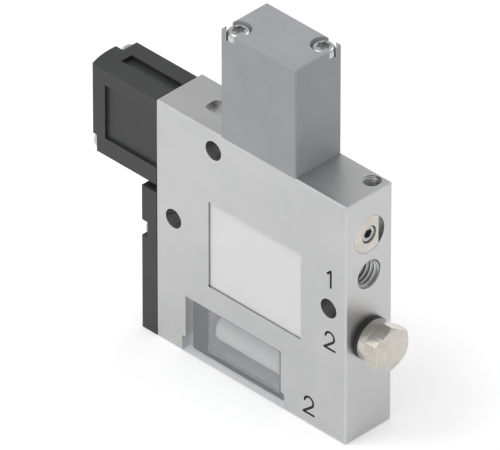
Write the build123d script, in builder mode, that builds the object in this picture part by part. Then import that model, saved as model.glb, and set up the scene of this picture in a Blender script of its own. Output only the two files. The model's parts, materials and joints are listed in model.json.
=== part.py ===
from build123d import *
import os

os.makedirs("parts", exist_ok=True)

# A slim block vacuum ejector with a solenoid valve, a silencer, a filter and an M5 port system.
# Millimetres. +X points to the port side, +Y to the rear (mounting) face and +Z up.
# The origin is the middle of the body's base.

# Fits
thread_fit = 0.03
running_fit = 0.03
nozzle_fit = 0.05
plate_fit = 0.05
oring_fit = 0.02
seal_faces = 6

# Body block
body_length = 41.2
body_thick = 10.0
body_height = 44.6
edge_break = 0.2
left = -body_length / 2
right = body_length / 2
front = -body_thick / 2
rear = body_thick / 2

# Fixing holes for M3 screws, through the block from front to rear
fixing_dia = 3.4
fixing_pair_spacing = 33.7
fixing_pair_drop = 20.6
upper_fixing_inset = 12.5
upper_fixing_drop = 3.5
fixing_places = [
    (-fixing_pair_spacing / 2, body_height - fixing_pair_drop),
    (fixing_pair_spacing / 2, body_height - fixing_pair_drop),
    (left + upper_fixing_inset, body_height - upper_fixing_drop),
]

# M5 ports: 1 is the air supply, and 2 is the vacuum, at the side (plugged) and in the base
port_core_dia = 4.2
port_mouth_dia = 5.1
port_depth = 6.0
supply_port_drop = 14.8
side_port_drop = 26.5
base_port_inset = 33.6
base_passage_dia = 3.0
supply_port_z = body_height - supply_port_drop
side_port_z = body_height - side_port_drop
base_port_x = left + base_port_inset

# M3 thread in the top face
top_thread_core_dia = 2.5
top_thread_mouth_dia = 3.0
top_thread_depth = 4.4
top_thread_end_inset = 2.45
top_thread_rear_inset = 2.0

# Ejector line: jet nozzle, suction gap and receiver nozzle on one axis
axis_drop = 9.0
axis_y = -0.3
axis_z = body_height - axis_drop
jet_dia = 4.3
jet_length = 7.7
jet_throat_from_tip = 1.5
jet_tip_length = 0.9
jet_tip_dia = 1.6
jet_throat_dia = 0.6
jet_exit_dia = 0.9
jet_entry_dia = 2.4
leg_wall = 0.4
leg_root = 0.2
suction_gap = 1.8
receiver_flange_length = 2.05
receiver_length = 10.3
receiver_dia = 3.7
receiver_throat_dia = 1.3
receiver_mouth_dia = 2.7
receiver_mouth_length = 0.8
receiver_inlet_dia = 1.6
receiver_inlet_length = 2.5
receiver_exit_dia = 2.2
nozzle_groove_width = 1.0
nozzle_groove_depth = 0.5
jet_groove_place = 3.0
receiver_groove_place = 5.6
leg_slot_width = 1.6
receiver_x = left + jet_length + suction_gap
receiver_step_x = receiver_x + receiver_flange_length

# Passages inside the block
supply_passage_dia = 1.6
supply_passage_y = 2.3
supply_passage_drop = 2.6
riser_dia = 1.4
feed_riser_x = 14.8
return_riser_x = 10.8
return_riser_y = 1.1
suction_dia = 1.8
suction_y = -0.9
suction_x = left + jet_length + suction_gap / 2
well_dia = 4.4
well_below_axis = 1.2
link_dia = 1.8
link_y = 1.9
supply_passage_z = axis_z - supply_passage_drop

# Regulating screw, M3, in a flanged insert with one flat
screw_drop = 7.35
insert_flange_dia = 6.4
insert_flange_thick = 1.0
insert_flat_y = 2.0
insert_neck_dia = 4.4
insert_neck_length = 2.0
recess_dia = 6.5
regulating_dia = 3.0
regulating_inset = 0.28
regulating_length = 4.52
needle_length = 2.3
needle_root_dia = 2.4
needle_tip_dia = 0.9
needle_chamber_dia = 3.2
needle_seat_dia = 1.4
needle_seat_x = 13.0
needle_seat_length = 3.0
regulating_groove_place = 2.9
regulating_groove_width = 0.8
regulating_groove_dia = 2.2
regulating_key = 1.5
regulating_key_depth = 1.5
regulating_chamfer = 0.2
screw_z = body_height - screw_drop

# Silencer housing on top
silencer_inset = 14.1
silencer_length = 16.1
silencer_height = 20.1
silencer_wall = 1.2
silencer_front_wall = 1.0
silencer_roof = 2.4
silencer_screw_end_inset = 2.0
silencer_screw_side_inset = 1.95
silencer_bore_dia = 4.2
silencer_bore_depth = 1.75
screw_post_dia = 3.8
insert_dia = 7.4
insert_bore_dia = 3.6
gasket_thick = 0.5
gasket_inset = 0.6
insert_end_gap = 0.1
silencer_left = left + silencer_inset
silencer_x = silencer_left + silencer_length / 2
silencer_top = body_height + silencer_height
silencer_screw_places = [
    (silencer_left + silencer_screw_end_inset, front + silencer_screw_side_inset),
    (
        silencer_left + silencer_length - silencer_screw_end_inset,
        rear - silencer_screw_side_inset,
    ),
]

# Exhaust slot in the top face, from under the silencer to the open
slot_inset = 6.55
slot_width = 3.1
slot_y = 0.25
slot_depth = 1.0
slot_corner = 1.0
slot_under_housing = 4.0

# M2 screws of the silencer and the valve, and M1.6 screws of the cover
small_screw_dia = 2.0
small_head_dia = 3.8
small_head_flat_dia = 3.0
silencer_head_inset = 0.25
silencer_thread_length = 5.0
screw_hole_spare = 0.5
screw_clear = 0.1
star_size = 2.2
star_depth = 0.9
cover_screw_dia = 1.6
cover_head_dia = 2.8
cover_head_height = 0.85
cover_star_size = 1.5
cover_star_depth = 0.5
cover_thread_length = 4.0

# Solenoid valve housing at the left, flush with the top and the front
valve_length = 14.05
valve_bulge = 0.85
valve_width = 9.0
valve_height = 16.3
valve_panel_length = 11.26
valve_panel_drop = 2.86
valve_panel_height = 10.04
valve_panel_depth = 0.5
valve_groove_length = 11.2
valve_groove_front = 3.5
valve_groove_width = 2.3
valve_groove_depth = 0.8
corner_pocket = 3.2
corner_pocket_floor = 13.1
valve_screw_inset = 1.8
valve_head_dia = 3.6
valve_head_height = 1.0
valve_head_bore_dia = 3.9
valve_thread_length = 4.0
valve_left = left - valve_length
valve_bottom = body_height - valve_height
valve_rear = front + valve_width
valve_screw_places = [
    (front + valve_screw_inset, valve_bottom + valve_screw_inset),
    (valve_rear - valve_screw_inset, body_height - valve_screw_inset),
]

# Inside the valve: seat block, solenoid and armature
cavity_width = 7.2
cavity_below_axis = 3.6
cavity_above_axis = 4.8
cavity_depth = 11.6
valve_gasket_thick = 0.5
valve_base_thick = 2.0
seat_recess = 6.0
seat_recess_depth = 0.9
seat_dia = 2.2
seat_bore_dia = 1.2
valve_inlet_dia = 1.2
yoke_sheet = 0.8
yoke_width = 6.8
yoke_bend = 1.0
bobbin_length = 7.4
bobbin_flange_dia = 6.8
bobbin_flange_thick = 0.6
bobbin_tube_dia = 4.2
winding_dia = 6.6
core_dia = 3.2
bobbin_bore_fit = 0.05
fixed_core_length = 3.9
armature_travel = 0.5
armature_seal_dia = 2.0
armature_seal_thick = 0.8
armature_seal_proud = 0.18
seal_rest_gap = 0.02
armature_stop_gap = 0.02
armature_spring_bore_dia = 2.2
armature_spring_bore_depth = 2.0
spring_wire_dia = 0.24
wire_faces = 4
armature_spring_dia = 1.9
armature_spring_turns = 3
cavity_bottom = axis_z - cavity_below_axis
cavity_top = axis_z + cavity_above_axis
cavity_middle = (cavity_bottom + cavity_top) / 2
valve_base_x = left - valve_gasket_thick
seat_x = valve_base_x - valve_base_thick
bobbin_x = seat_x - yoke_sheet
yoke_end_x = bobbin_x - bobbin_length - yoke_sheet
core_face_x = yoke_end_x + fixed_core_length
armature_back_x = core_face_x + armature_travel + armature_stop_gap
armature_front_x = seat_x - seal_rest_gap - armature_seal_proud

# Electrical socket and manual override in the valve's end
socket_width = 5.2
socket_height = 3.6
socket_floor_wall = 0.8
socket_above_axis = 2.2
pin_dia = 0.6
pin_spacing = 2.0
pin_length = 2.4
pin_chamfer = 0.15
socket_corner = 0.5
override_y = 1.8
override_above_bottom = 2.1
override_stem_dia = 1.6
override_dia = 2.2
override_end_wall = 1.6
override_spring_length = 3.4
override_spring_dia = 1.9
override_spring_turns = 3
override_rest_gap = 0.02
override_stem_proud = 1.25
override_z = valve_bottom + override_above_bottom
override_shoulder_x = valve_left - valve_bulge + override_end_wall

# Cover plate at the lower left
cover_thick = 3.4
cover_drop = 17.6
cover_notch_drop = 24.2
cover_notch = 3.0
cover_notch_width = 3.2
cover_notch_depth = 1.36
cover_screw_inset = 1.6
cover_gasket_width = 3.4
cover_gasket_end = 2.0
cover_gasket_thick = 0.6
cover_corner = 0.8
cover_top = body_height - cover_drop
cover_notch_z = body_height - cover_notch_drop - cover_notch / 2
cover_screw_places = [
    (front + cover_screw_inset, cover_notch_z),
    (rear - cover_screw_inset, cover_top - cover_notch_z),
]

# Label pocket and plate in the front face
label_inset = 11.4
label_drop = 13.6
label_length = 20.0
label_height = 16.0
label_thick = 0.25
label_pocket_depth = 0.6

# Filter behind a clear window at the bottom of the front face
window_inset = 6.4
window_length = 20.7
window_height = 10.6
window_thick = 1.2
window_seal_thick = 0.6
window_seal_inset = 0.4
window_lug = 0.8
window_lug_height = 2.9
window_lug_corner = 0.5
window_corner = 0.3
chamber_left_inset = 3.9
chamber_right_inset = 1.6
chamber_end_inset = 1.5
chamber_depth = 6.0
seal_overhang = 0.2
filter_dia = 5.6
filter_bore_dia = 3.0
filter_seal_thick = 0.8
filter_cap_thick = 1.2
filter_cap_spigot = 1.0
window_left = left + window_inset
window_right = window_left + window_length
window_x = (window_left + window_right) / 2
ledge_y = front + window_thick + window_seal_thick
chamber_left = window_left + chamber_left_inset
chamber_right = window_right - chamber_right_inset
chamber_x = (chamber_left + chamber_right) / 2
chamber_height = window_height - 2 * chamber_end_inset
filter_z = window_height / 2
filter_y = axis_y
link_z = window_height - chamber_end_inset - link_dia / 2 - seal_overhang

# Hex plug in the side port, with its sealing ring
plug_flats = 7.0
plug_ring_dia = 7.2
plug_ring_bore_dia = 5.1
plug_ring_thick = 1.0
plug_collar_dia = 7.1
plug_collar_end = 2.46
plug_front = 5.1
plug_chamfer_dia = 7.0
plug_chamfer = 0.31
plug_thread_length = 4.5


def facing_right(x, y, z):
    """A plane whose normal points to the port side."""
    return Plane(origin=(x, y, z), x_dir=(0, 1, 0), z_dir=(1, 0, 0))


def facing_left(x, y, z):
    """A plane whose normal points to the valve side."""
    return Plane(origin=(x, y, z), x_dir=(0, -1, 0), z_dir=(-1, 0, 0))


def facing_front(x, y, z):
    """A plane whose normal points to the front."""
    return Plane(origin=(x, y, z), x_dir=(1, 0, 0), z_dir=(0, -1, 0))


def facing_up(x, y, z):
    """A plane whose normal points up."""
    return Plane(origin=(x, y, z), x_dir=(1, 0, 0), z_dir=(0, 0, 1))


def facing_down(x, y, z):
    """A plane whose normal points down."""
    return Plane(origin=(x, y, z), x_dir=(1, 0, 0), z_dir=(0, 0, -1))


def drill(plane, dia, depth):
    """Cuts a round hole into the part in work, from the plane against its normal."""
    with Locations(plane):
        Cylinder(dia / 2, depth, align=(Align.CENTER, Align.CENTER, Align.MAX), mode=Mode.SUBTRACT)


def countersink(plane, mouth_dia, dia):
    """Widens the mouth of a hole at 45 degrees."""
    depth = (mouth_dia - dia) / 2
    with Locations(plane):
        Cone(
            dia / 2,
            mouth_dia / 2,
            depth,
            align=(Align.CENTER, Align.CENTER, Align.MAX),
            mode=Mode.SUBTRACT,
        )


def star_socket(plane, size, depth):
    """Cuts a six-point key recess into the part in work."""
    with BuildSketch(plane, mode=Mode.PRIVATE) as star:
        RegularPolygon(size / 2, 3)
        RegularPolygon(size / 2, 3, rotation=180)
    extrude(star.sketch, amount=-depth, mode=Mode.SUBTRACT)


def seal_ring(plane, bore_dia, groove_dia):
    """Makes the O-ring that fills a groove, with a few flat faces around its section."""
    section = (bore_dia - groove_dia) / 4 - oring_fit
    middle = (bore_dia + groove_dia) / 4
    with BuildSketch(Plane(origin=plane.origin, x_dir=plane.x_dir, z_dir=plane.y_dir)) as profile:
        with Locations((middle, 0)):
            RegularPolygon(section, seal_faces)
    revolve(profile.sketch, axis=Axis(plane.origin, plane.z_dir))


def save(part, name):
    """Labels a finished piece and writes its file."""
    part.label = name
    export_step(part, f"parts/{name}.step")


# Body: the machined block with its ports, passages, pockets and fixing holes
with BuildPart() as body:
    with BuildSketch(facing_up(0, 0, 0)):
        Rectangle(body_length, body_thick)
    extrude(amount=body_height)
    chamfer(body.edges(), edge_break)
    for hole_x, hole_z in fixing_places:
        drill(facing_front(hole_x, front, hole_z), fixing_dia, body_thick)
    # Ports and threads
    for port_z in (supply_port_z, side_port_z):
        drill(facing_right(right, 0, port_z), port_core_dia, port_depth)
        countersink(facing_right(right, 0, port_z), port_mouth_dia, port_core_dia)
    drill(facing_down(base_port_x, 0, 0), port_core_dia, port_depth)
    countersink(facing_down(base_port_x, 0, 0), port_mouth_dia, port_core_dia)
    drill(facing_down(base_port_x, 0, port_depth), base_passage_dia, side_port_z - port_depth)
    drill(facing_right(right, 0, side_port_z), base_passage_dia, right - base_port_x)
    top_thread = facing_up(right - top_thread_end_inset, rear - top_thread_rear_inset, body_height)
    drill(top_thread, top_thread_core_dia, top_thread_depth)
    countersink(top_thread, top_thread_mouth_dia, top_thread_core_dia)
    # Ejector bore, stepped for the receiver nozzle, and the exhaust well above its end
    drill(
        facing_left(left, axis_y, axis_z),
        jet_dia + 2 * nozzle_fit,
        receiver_step_x - left,
    )
    drill(
        facing_left(left, axis_y, axis_z),
        receiver_dia + 2 * nozzle_fit,
        silencer_x - left,
    )
    drill(facing_up(silencer_x, 0, body_height), well_dia, axis_drop + well_below_axis)
    # Supply line: port, riser, needle chamber, seat, second riser and the passage to the valve
    drill(
        facing_down(feed_riser_x, 0, supply_port_z),
        riser_dia,
        screw_z - supply_port_z,
    )
    drill(facing_right(right, 0, screw_z), recess_dia, insert_flange_thick + plate_fit)
    drill(
        facing_right(right, 0, screw_z),
        insert_neck_dia + 2 * thread_fit,
        insert_flange_thick + insert_neck_length + plate_fit,
    )
    drill(facing_right(right, 0, screw_z), needle_chamber_dia, right - needle_seat_x)
    drill(facing_right(needle_seat_x, 0, screw_z), needle_seat_dia, needle_seat_length)
    drill(
        facing_down(return_riser_x, return_riser_y, supply_passage_z),
        riser_dia,
        screw_z - supply_passage_z,
    )
    drill(
        facing_left(left, supply_passage_y, supply_passage_z),
        supply_passage_dia,
        return_riser_x - left,
    )
    # Suction line: from the gap down to the filter, and the cross drilling that the cover closes
    drill(facing_down(suction_x, suction_y, filter_z), suction_dia, axis_z - filter_z)
    drill(facing_left(left, filter_y, filter_z), suction_dia, chamber_left - left)
    drill(facing_right(base_port_x, link_y, link_z), link_dia, base_port_x - chamber_right)
    # Exhaust slot in the top face
    with BuildSketch(facing_up(0, slot_y, body_height)) as slot:
        with Locations((left + slot_inset, 0)):
            Rectangle(
                silencer_left + slot_under_housing - left - slot_inset,
                slot_width,
                align=(Align.MIN, Align.CENTER),
            )
        fillet(slot.vertices().group_by(Axis.X)[0], slot_corner)
    extrude(amount=-slot_depth, mode=Mode.SUBTRACT)
    # Label pocket
    with BuildSketch(
        facing_front(left + label_inset - plate_fit, front, body_height - label_drop + plate_fit)
    ):
        Rectangle(
            label_length + 2 * plate_fit,
            label_height + 2 * plate_fit,
            align=(Align.MIN, Align.MAX),
        )
    extrude(amount=-label_pocket_depth, mode=Mode.SUBTRACT)
    # Window seat, open at the base, with room for the window's two lugs
    with BuildSketch(facing_front(window_x, front, 0)) as window_seat:
        Rectangle(
            window_length + 2 * window_lug + 2 * plate_fit,
            window_lug_height + plate_fit,
            align=(Align.CENTER, Align.MIN),
        )
        fillet(window_seat.vertices().group_by(Axis.Y)[-1], window_lug_corner + plate_fit)
        Rectangle(
            window_length + 2 * plate_fit,
            window_height + plate_fit,
            align=(Align.CENTER, Align.MIN),
        )
    extrude(amount=-(window_thick + window_seal_thick), mode=Mode.SUBTRACT)
    # Filter chamber
    with BuildSketch(facing_front(chamber_x, ledge_y, filter_z)):
        RectangleRounded(chamber_right - chamber_left, chamber_height, window_corner)
    extrude(amount=-chamber_depth, mode=Mode.SUBTRACT)
    # Threads for the small screws
    for screw_x, screw_y in silencer_screw_places:
        drill(
            facing_up(screw_x, screw_y, body_height),
            small_screw_dia + 2 * thread_fit,
            silencer_thread_length + screw_hole_spare,
        )
    for screw_y, place_z in valve_screw_places:
        drill(
            facing_left(left, screw_y, place_z),
            small_screw_dia + 2 * thread_fit,
            valve_thread_length + screw_hole_spare,
        )
    for screw_y, place_z in cover_screw_places:
        drill(
            facing_left(left, screw_y, place_z),
            cover_screw_dia + 2 * thread_fit,
            cover_thread_length + screw_hole_spare,
        )
save(body.part, "body")

# Label plate, bare
with BuildPart() as label_plate:
    label_plane = facing_front(
        left + label_inset, front + label_pocket_depth, body_height - label_drop
    )
    with BuildSketch(label_plane):
        Rectangle(label_length, label_height, align=(Align.MIN, Align.MAX))
    extrude(amount=label_thick)
save(label_plate.part, "label_plate")

# Jet nozzle: converging and diverging bore, seal groove, and four legs that set the gap
with BuildPart() as jet_nozzle:
    jet_line = Plane(origin=(left, axis_y, axis_z), x_dir=(1, 0, 0), z_dir=(0, -1, 0))
    groove_end = jet_groove_place + nozzle_groove_width
    throat_place = jet_length - jet_throat_from_tip
    leg_bore = jet_dia / 2 - leg_wall
    with BuildSketch(jet_line):
        with BuildLine():
            Polyline(
                (0, jet_entry_dia / 2),
                (0, jet_dia / 2),
                (jet_groove_place, jet_dia / 2),
                (jet_groove_place, jet_dia / 2 - nozzle_groove_depth),
                (groove_end, jet_dia / 2 - nozzle_groove_depth),
                (groove_end, jet_dia / 2),
                (jet_length + suction_gap, jet_dia / 2),
                (jet_length + suction_gap, leg_bore),
                (jet_length, leg_bore),
                (jet_length + jet_tip_length, jet_tip_dia / 2),
                (jet_length + jet_tip_length, jet_exit_dia / 2),
                (throat_place, jet_throat_dia / 2),
                close=True,
            )
        make_face()
    revolve(axis=Axis((left, axis_y, axis_z), (1, 0, 0)))
    with BuildSketch(facing_right(left + jet_length + leg_root, axis_y, axis_z)):
        Rectangle(leg_slot_width, 2 * jet_dia)
        Rectangle(2 * jet_dia, leg_slot_width)
        Circle((jet_tip_dia + leg_wall) / 2, mode=Mode.SUBTRACT)
    extrude(amount=suction_gap, mode=Mode.SUBTRACT)
save(jet_nozzle.part, "jet_nozzle")

# Receiver nozzle: bell mouth, throat and diffuser, with a flange that seats on the bore's step
with BuildPart() as receiver_nozzle:
    receiver_line = Plane(origin=(receiver_x, axis_y, axis_z), x_dir=(1, 0, 0), z_dir=(0, -1, 0))
    with BuildSketch(receiver_line):
        with BuildLine():
            Polyline(
                (receiver_mouth_length, receiver_inlet_dia / 2),
                (0, receiver_mouth_dia / 2),
                (0, jet_dia / 2),
                (receiver_flange_length, jet_dia / 2),
                (receiver_flange_length, receiver_dia / 2),
                (receiver_groove_place, receiver_dia / 2),
                (receiver_groove_place, receiver_dia / 2 - nozzle_groove_depth),
                (receiver_groove_place + nozzle_groove_width, receiver_dia / 2 - nozzle_groove_depth),
                (receiver_groove_place + nozzle_groove_width, receiver_dia / 2),
                (receiver_length, receiver_dia / 2),
                (receiver_length, receiver_exit_dia / 2),
                (receiver_groove_place, receiver_throat_dia / 2),
                (receiver_inlet_length, receiver_throat_dia / 2),
                close=True,
            )
        make_face()
    revolve(axis=Axis((receiver_x, axis_y, axis_z), (1, 0, 0)))
save(receiver_nozzle.part, "receiver_nozzle")

# O-rings of the two nozzles
for ring_name, ring_x, ring_dia in (
    ("jet_nozzle_oring", left + jet_groove_place, jet_dia),
    ("receiver_nozzle_oring", receiver_x + receiver_groove_place, receiver_dia),
):
    ring_plane = facing_right(ring_x + nozzle_groove_width / 2, axis_y, axis_z)
    with BuildPart() as nozzle_oring:
        seal_ring(ring_plane, ring_dia + 2 * nozzle_fit, ring_dia - 2 * nozzle_groove_depth)
    save(nozzle_oring.part, ring_name)

# Regulating insert: a flange with one flat, and a neck in the block
with BuildPart() as regulating_insert:
    with BuildSketch(facing_right(right - insert_flange_thick, 0, screw_z)):
        Circle(insert_flange_dia / 2)
        with Locations((insert_flat_y, 0)):
            Rectangle(
                insert_flange_dia,
                insert_flange_dia,
                align=(Align.MIN, Align.CENTER),
                mode=Mode.SUBTRACT,
            )
    extrude(amount=insert_flange_thick)
    with Locations(facing_right(right - insert_flange_thick, 0, screw_z)):
        Cylinder(
            insert_neck_dia / 2,
            insert_neck_length,
            align=(Align.CENTER, Align.CENTER, Align.MAX),
        )
    with Locations(facing_right(right, 0, screw_z)):
        Hole(regulating_dia / 2 + running_fit, depth=insert_flange_thick + insert_neck_length)
save(regulating_insert.part, "regulating_insert")

# Regulating screw: hex socket, seal groove and needle
with BuildPart() as regulating_screw:
    screw_head_x = right - regulating_inset
    needle_root = -regulating_length
    groove_outer = -regulating_groove_place
    groove_inner = -regulating_groove_place - regulating_groove_width
    screw_line = Plane(origin=(screw_head_x, 0, screw_z), x_dir=(1, 0, 0), z_dir=(0, -1, 0))
    with BuildSketch(screw_line):
        with BuildLine():
            Polyline(
                (0, 0),
                (0, regulating_dia / 2 - regulating_chamfer),
                (-regulating_chamfer, regulating_dia / 2),
                (groove_outer, regulating_dia / 2),
                (groove_outer, regulating_groove_dia / 2),
                (groove_inner, regulating_groove_dia / 2),
                (groove_inner, regulating_dia / 2),
                (needle_root, regulating_dia / 2),
                (needle_root, needle_root_dia / 2),
                (needle_root - needle_length, needle_tip_dia / 2),
                (needle_root - needle_length, 0),
                close=True,
            )
        make_face()
    revolve(axis=Axis((screw_head_x, 0, screw_z), (1, 0, 0)))
    with BuildSketch(facing_right(screw_head_x, 0, screw_z)):
        RegularPolygon(regulating_key / 2, 6, major_radius=False)
    extrude(amount=-regulating_key_depth, mode=Mode.SUBTRACT)
save(regulating_screw.part, "regulating_screw")

# O-ring of the regulating screw
with BuildPart() as regulating_screw_oring:
    ring_x = screw_head_x - regulating_groove_place - regulating_groove_width / 2
    seal_ring(facing_right(ring_x, 0, screw_z), needle_chamber_dia, regulating_groove_dia)
save(regulating_screw_oring.part, "regulating_screw_oring")

# Hex plug: chamfered hexagon, collar and threaded shank
with BuildPart() as screw_plug:
    plug_corner = plug_flats / 3**0.5
    with BuildSketch(facing_right(right + plug_collar_end, 0, side_port_z)):
        RegularPolygon(plug_flats / 2, 6, major_radius=False, rotation=30)
    extrude(amount=plug_front - plug_collar_end)
    plug_line = Plane(origin=(right, 0, side_port_z), x_dir=(1, 0, 0), z_dir=(0, -1, 0))
    with BuildSketch(plug_line):
        with BuildLine():
            Polyline(
                (plug_collar_end, 0),
                (plug_collar_end, plug_chamfer_dia / 2),
                (plug_collar_end + plug_chamfer, plug_corner),
                (plug_front - plug_chamfer, plug_corner),
                (plug_front, plug_chamfer_dia / 2),
                (plug_front, 0),
                close=True,
            )
        make_face()
    revolve(axis=Axis((right, 0, side_port_z), (1, 0, 0)), mode=Mode.INTERSECT)
    with Locations(facing_right(right + plug_ring_thick, 0, side_port_z)):
        Cylinder(
            plug_collar_dia / 2,
            plug_collar_end - plug_ring_thick,
            align=(Align.CENTER, Align.CENTER, Align.MIN),
        )
        Cylinder(
            port_core_dia / 2 - thread_fit,
            plug_ring_thick + plug_thread_length,
            align=(Align.CENTER, Align.CENTER, Align.MAX),
        )
save(screw_plug.part, "screw_plug")

# Sealing ring under the plug
with BuildPart() as plug_seal_ring:
    with BuildSketch(facing_right(right, 0, side_port_z)):
        Circle(plug_ring_dia / 2)
        Circle(plug_ring_bore_dia / 2, mode=Mode.SUBTRACT)
    extrude(amount=plug_ring_thick)
save(plug_seal_ring.part, "plug_seal_ring")

# Silencer housing: a deep cap with two screw posts inside it
with BuildPart() as silencer_housing:
    cavity_length = silencer_length - 2 * silencer_wall
    cavity_thick = body_thick - 2 * silencer_front_wall
    with BuildSketch(facing_up(silencer_x, 0, body_height)):
        Rectangle(silencer_length, body_thick)
    extrude(amount=silencer_height)
    chamfer(silencer_housing.edges().filter_by(Axis.Z), edge_break)
    chamfer(silencer_housing.faces().sort_by(Axis.Z)[-1].edges(), edge_break)
    with BuildSketch(facing_up(silencer_x, 0, body_height)):
        Rectangle(cavity_length, cavity_thick)
        for screw_x, screw_y in silencer_screw_places:
            with Locations((screw_x - silencer_x, screw_y)):
                Circle(screw_post_dia / 2, mode=Mode.SUBTRACT)
    extrude(amount=silencer_height - silencer_roof, mode=Mode.SUBTRACT)
    with BuildSketch(facing_up(silencer_x, 0, body_height)):
        Rectangle(silencer_length - 2 * gasket_inset, body_thick - 2 * gasket_inset)
    extrude(amount=gasket_thick, mode=Mode.SUBTRACT)
    for screw_x, screw_y in silencer_screw_places:
        drill(
            facing_up(screw_x, screw_y, silencer_top),
            small_screw_dia + 2 * screw_clear,
            silencer_height,
        )
        drill(facing_up(screw_x, screw_y, silencer_top), silencer_bore_dia, silencer_bore_depth)
save(silencer_housing.part, "silencer_housing")

# Silencer gasket: seals the rim, carries the sleeve and lets the exhaust up and back
with BuildPart() as silencer_gasket:
    with BuildSketch(facing_up(silencer_x, 0, body_height)):
        Rectangle(
            silencer_length - 2 * gasket_inset - 2 * plate_fit,
            body_thick - 2 * gasket_inset - 2 * plate_fit,
        )
        Circle(well_dia / 2, mode=Mode.SUBTRACT)
        with Locations((silencer_left + silencer_wall - silencer_x, slot_y)):
            Rectangle(
                slot_under_housing - silencer_wall,
                slot_width,
                align=(Align.MIN, Align.CENTER),
                mode=Mode.SUBTRACT,
            )
        for screw_x, screw_y in silencer_screw_places:
            with Locations((screw_x - silencer_x, screw_y)):
                Circle(small_screw_dia / 2 + screw_clear, mode=Mode.SUBTRACT)
    extrude(amount=gasket_thick)
save(silencer_gasket.part, "silencer_gasket")

# Silencer insert: a porous sleeve
with BuildPart() as silencer_insert:
    with BuildSketch(facing_up(silencer_x, 0, body_height + gasket_thick)):
        Circle(insert_dia / 2)
        Circle(insert_bore_dia / 2, mode=Mode.SUBTRACT)
    extrude(amount=silencer_height - silencer_roof - gasket_thick - insert_end_gap)
save(silencer_insert.part, "silencer_insert")

# Silencer screws: long cylinder-head screws
for number, (screw_x, screw_y) in enumerate(silencer_screw_places, 1):
    head_bottom = silencer_top - silencer_bore_depth
    head_top = silencer_top - silencer_head_inset
    with BuildPart() as silencer_screw:
        with Locations(facing_up(screw_x, screw_y, body_height - silencer_thread_length)):
            Cylinder(
                small_screw_dia / 2,
                head_bottom - body_height + silencer_thread_length,
                align=(Align.CENTER, Align.CENTER, Align.MIN),
            )
        with Locations(facing_up(screw_x, screw_y, head_bottom)):
            Cylinder(
                small_head_dia / 2,
                head_top - head_bottom,
                align=(Align.CENTER, Align.CENTER, Align.MIN),
            )
        rim = silencer_screw.faces().sort_by(Axis.Z)[-1].edges()
        chamfer(rim, (small_head_dia - small_head_flat_dia) / 2)
        star_socket(facing_up(screw_x, screw_y, head_top), star_size, star_depth)
    save(silencer_screw.part, f"silencer_screw_{number}")

# Valve housing: curved end, sunk front panel, top groove and two screw pockets
with BuildPart() as valve_housing:
    valve_middle = front + valve_width / 2
    with BuildSketch(facing_up(0, 0, valve_bottom)):
        with BuildLine():
            Polyline((valve_left, front), (left, front), (left, valve_rear), (valve_left, valve_rear))
            ThreePointArc(
                (valve_left, valve_rear),
                (valve_left - valve_bulge, valve_middle),
                (valve_left, front),
            )
        make_face()
    extrude(amount=valve_height)
    outer_edges = valve_housing.edges().filter_by_position(
        Axis.X, valve_left - valve_bulge, left - edge_break
    )
    chamfer(outer_edges, edge_break)
    # Sunk panel in the front face
    with BuildSketch(facing_front(left, front, body_height - valve_panel_drop)):
        Rectangle(valve_panel_length, valve_panel_height, align=(Align.MAX, Align.MAX))
    extrude(amount=-valve_panel_depth, mode=Mode.SUBTRACT)
    # Groove in the top face
    with BuildSketch(facing_up(left, front + valve_groove_front, body_height)):
        Rectangle(valve_groove_length, valve_groove_width, align=(Align.MAX, Align.MIN))
    extrude(amount=-valve_groove_depth, mode=Mode.SUBTRACT)
    # Pockets for the two screw heads
    with BuildSketch(facing_left(left - corner_pocket_floor, 0, 0)):
        with Locations((-front, valve_bottom)):
            Rectangle(corner_pocket, corner_pocket, align=(Align.MAX, Align.MIN))
        with Locations((-valve_rear, body_height)):
            Rectangle(corner_pocket, corner_pocket, align=(Align.MIN, Align.MAX))
    extrude(amount=valve_length, mode=Mode.SUBTRACT)
    for screw_y, place_z in valve_screw_places:
        drill(
            facing_left(left - corner_pocket_floor, screw_y, place_z),
            small_screw_dia + 2 * screw_clear,
            corner_pocket_floor,
        )
        drill(
            facing_left(valve_left - valve_bulge, screw_y, place_z),
            valve_head_bore_dia,
            valve_length + valve_bulge - corner_pocket_floor,
        )
    # Cavity for the solenoid, open to the body
    with BuildSketch(facing_right(left, axis_y, cavity_middle)):
        Rectangle(cavity_width, cavity_top - cavity_bottom)
    extrude(amount=-cavity_depth, mode=Mode.SUBTRACT)
    # Electrical socket in the end, with two pin holes
    socket_floor_x = left - cavity_depth - socket_floor_wall
    with BuildSketch(facing_left(socket_floor_x, axis_y, axis_z + socket_above_axis)):
        RectangleRounded(socket_width, socket_height, socket_corner)
    extrude(amount=valve_length, mode=Mode.SUBTRACT)
    with Locations(facing_left(socket_floor_x, axis_y, axis_z + socket_above_axis)):
        with GridLocations(pin_spacing, 1, 2, 1):
            Hole(pin_dia / 2 + thread_fit, depth=socket_floor_wall)
    # Bore and stem hole of the manual override
    drill(
        facing_right(left, override_y, override_z),
        override_dia + 2 * running_fit,
        left - override_shoulder_x,
    )
    drill(
        facing_right(left, override_y, override_z),
        override_stem_dia + 2 * running_fit,
        valve_length + valve_bulge,
    )
save(valve_housing.part, "valve_housing")

# Valve screws
for number, (screw_y, place_z) in enumerate(valve_screw_places, 1):
    head_seat_x = left - corner_pocket_floor
    with BuildPart() as valve_screw:
        with Locations(facing_left(head_seat_x, screw_y, place_z)):
            Cylinder(
                small_screw_dia / 2,
                corner_pocket_floor + valve_thread_length,
                align=(Align.CENTER, Align.CENTER, Align.MAX),
            )
            Cylinder(
                valve_head_dia / 2,
                valve_head_height,
                align=(Align.CENTER, Align.CENTER, Align.MIN),
            )
        star_plane = facing_left(head_seat_x - valve_head_height, screw_y, place_z)
        star_socket(star_plane, cover_star_size, cover_star_depth)
    save(valve_screw.part, f"valve_screw_{number}")

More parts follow.
